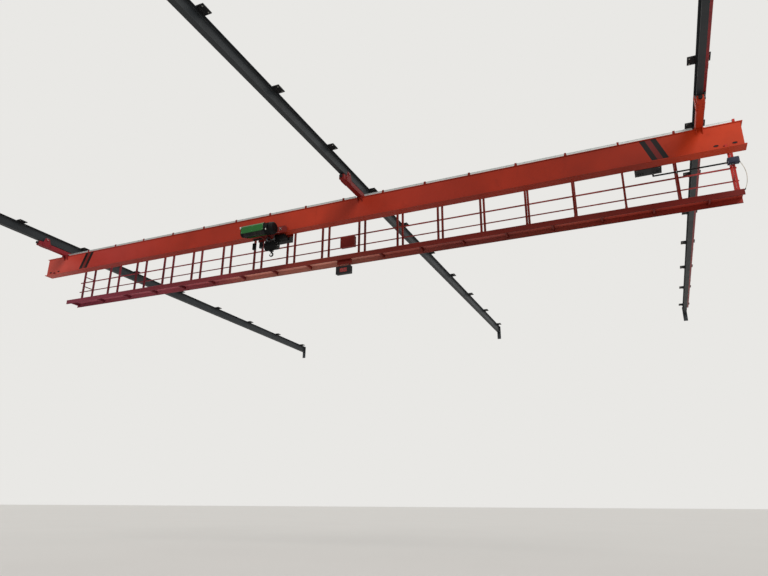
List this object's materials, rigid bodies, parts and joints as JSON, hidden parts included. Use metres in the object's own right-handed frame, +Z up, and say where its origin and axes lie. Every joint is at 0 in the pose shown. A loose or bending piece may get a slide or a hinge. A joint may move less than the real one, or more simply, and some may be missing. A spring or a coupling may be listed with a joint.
{
  "type": "overhead bridge crane",
  "caption": "Underslung bridge crane hung on runway beams, with a box girder, end trucks, a hung service walkway and a low-headroom hoist trolley with a hook block.",
  "frame": {"origin": "centre of the top face of one hanger plate on the middle runway beam", "axes": "+X along the girder towards the shorter bay, +Y along the runways towards the walkway side, +Z up"},
  "size_m": [24.8591, 28.32, 2.602],
  "materials": {
    "crane_red": "satin enamel",
    "crane_red_dark": "satin enamel, shaded",
    "runway_dark": "satin",
    "conductor_red": "gloss",
    "galvanised": "galvanised",
    "wheel_steel": "machined",
    "buffer_rubber": "matt",
    "drive_grey": "satin",
    "collector_plastic": "matt",
    "cabinet_grey": "powder coat",
    "junction_blue": "powder coat",
    "conduit_black": "matt",
    "cable_pale": "matt",
    "display_black": "matt",
    "hoist_green": "gloss enamel",
    "hoist_black": "satin",
    "switch_white": "matt",
    "weight_grey": "satin",
    "rope_steel": "oiled wire",
    "hook_steel": "forged"
  },
  "bodies": {
    "runway": {"runway_top_flanges": "runway_dark", "runway_webs": "runway_dark", "runway_bottom_flanges": "runway_dark", "hanger_plates": "runway_dark", "runway_end_stops": "runway_dark", "conductor_bar": "conductor_red", "conductor_brackets": "galvanised"},
    "bridge": {"girder_top_flange": "crane_red", "girder_front_web": "crane_red", "girder_rear_web": "crane_red", "girder_bottom_flange": "crane_red", "girder_end_plates": "crane_red", "lifting_lugs": "crane_red", "trolley_stops": "crane_red_dark", "end_truck_left": "crane_red", "end_truck_middle": "crane_red", "end_truck_right": "crane_red", "truck_wheels": "wheel_steel", "truck_buffers": "buffer_rubber", "travel_drives": "drive_grey", "current_collector": "collector_plastic", "walkway_arms": "crane_red_dark", "walkway_near_posts": "crane_red_dark", "walkway_far_posts": "crane_red_dark", "walkway_floor": "crane_red", "walkway_frame": "crane_red_dark", "top_rail": "crane_red", "middle_rail": "crane_red", "end_rails": "crane_red", "cable_tray": "galvanised", "control_cabinet": "cabinet_grey", "supply_conduit": "conduit_black", "junction_box": "junction_blue", "hanging_cable": "cable_pale", "railing_box": "crane_red", "load_display": "display_black", "display_bracket": "crane_red_dark"},
    "trolley": {"trolley_front_frame": "crane_red_dark", "trolley_rear_frame": "crane_red_dark", "trolley_cross_frame": "crane_red_dark", "trolley_wheels": "wheel_steel", "rope_drum": "wheel_steel", "drum_brackets": "hoist_black", "drum_cover": "hoist_green", "hoist_motor": "hoist_black", "limit_switch_box": "switch_white", "counterweight": "weight_grey", "cross_travel_drive": "drive_grey", "upper_sheaves": "wheel_steel", "trolley_control_box": "hoist_black", "hoist_limit_weight": "hoist_black"},
    "hook_block": {"block_housing": "hoist_black", "block_sheaves": "wheel_steel", "hook": "hook_steel", "hook_latch": "galvanised", "hoist_ropes": "rope_steel"}
  },
  "joints": [
    {"name": "bridge_travel", "type": "slide", "parent": "runway", "child": "bridge", "axis": [0, 1, 0], "range_m": [-8.1, 16.9]},
    {"name": "trolley_travel", "type": "slide", "parent": "bridge", "child": "trolley", "axis": [1, 0, 0], "range_m": [-9.6, 13.1]},
    {"name": "hook_lift", "type": "slide", "parent": "trolley", "child": "hook_block", "axis": [0, 0, -1], "range_m": [0, 9], "deforming": ["hoist_ropes"]}
  ]
}
